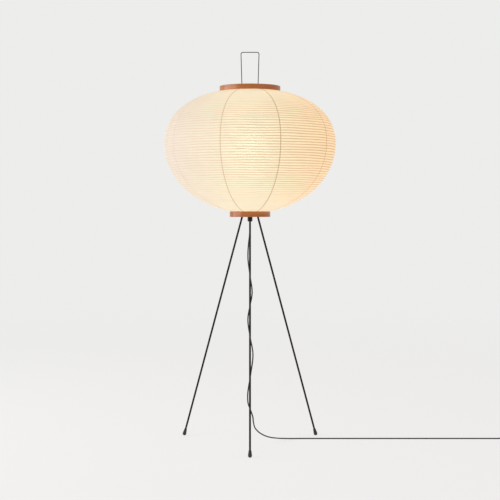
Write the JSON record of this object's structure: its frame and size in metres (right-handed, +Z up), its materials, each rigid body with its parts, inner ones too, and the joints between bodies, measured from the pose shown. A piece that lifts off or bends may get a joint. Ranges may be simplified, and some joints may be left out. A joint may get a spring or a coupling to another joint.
{
  "type": "paper lantern floor lamp",
  "caption": "Floor lamp: ribbed paper lantern between bentwood rings, wire stretcher with a top loop, slim tripod legs, and a wound cord with switch and plug.",
  "frame": {"origin": "on the floor, under the middle of the lantern", "axes": "+Z up, -Y towards the front leg, +X the way the cord leaves"},
  "size_m": [1.273, 0.5298, 1.214],
  "materials": {
    "bentwood": "oiled",
    "dark_steel": "satin",
    "black_rubber": "matte",
    "zinc_steel": "bright",
    "lit_paper": "matte",
    "bamboo": "raw",
    "thread": "matte",
    "spring_wire": "satin",
    "leg_paint": "satin",
    "brass": "satin",
    "black_plastic": "matte",
    "rocker_plastic": "gloss",
    "cord_sheath": "satin",
    "holder_plastic": "gloss",
    "ceramic_insert": "glazed",
    "opal_glass": "frosted",
    "contact_mass": "gloss"
  },
  "bodies": {
    "stand": {"paper_shade": "lit_paper", "bamboo_ribs": "bamboo", "seam_threads": "thread", "bottom_ring": "bentwood", "bottom_ring_liner": "bentwood", "stretcher_wire": "spring_wire", "carrying_loop": "spring_wire", "stretcher_collars": "zinc_steel", "hub_plate": "dark_steel", "leg_sockets": "dark_steel", "leg_front": "leg_paint", "leg_right": "leg_paint", "leg_left": "leg_paint", "foot_front": "black_rubber", "foot_right": "black_rubber", "foot_left": "black_rubber", "stem_tube": "brass", "stem_washers": "zinc_steel", "stem_nut": "brass", "cord_gland": "black_plastic", "stem_lead": "cord_sheath", "holder_cap": "holder_plastic", "holder_body": "holder_plastic", "holder_ring": "holder_plastic", "holder_insert": "ceramic_insert", "screw_shell": "brass", "centre_contact": "brass", "cord": "cord_sheath", "switch_base": "black_plastic", "switch_cover": "black_plastic", "switch_screws": "zinc_steel", "cord_coil": "cord_sheath", "coil_tie": "black_rubber", "cord_tail": "cord_sheath", "plug_body": "black_plastic", "plug_pins": "zinc_steel"},
    "top_ring_set": {"top_ring": "bentwood", "top_ring_liner": "bentwood", "crossbar": "dark_steel", "bar_grommets": "black_rubber", "bar_screws": "zinc_steel"},
    "bulb": {"bulb_glass": "opal_glass", "bulb_cap": "zinc_steel", "bulb_contact": "contact_mass"},
    "rocker": {"switch_rocker": "rocker_plastic"}
  },
  "joints": [
    {"name": "shade_collapse", "type": "slide", "parent": "stand", "child": "top_ring_set", "axis": [0, 0, -1], "range_m": [0, 0.105], "deforming": ["paper_shade", "bamboo_ribs", "seam_threads"]},
    {"name": "bulb_lift", "type": "slide", "parent": "stand", "child": "bulb", "axis": [0, 0, 1], "range_m": [0, 0.03]},
    {"name": "switch_rock", "type": "hinge", "parent": "stand", "child": "rocker", "pos_m": [0.842, 0.052, 0.0106], "axis": [0, -1, 0], "range_deg": [0, 14]}
  ]
}
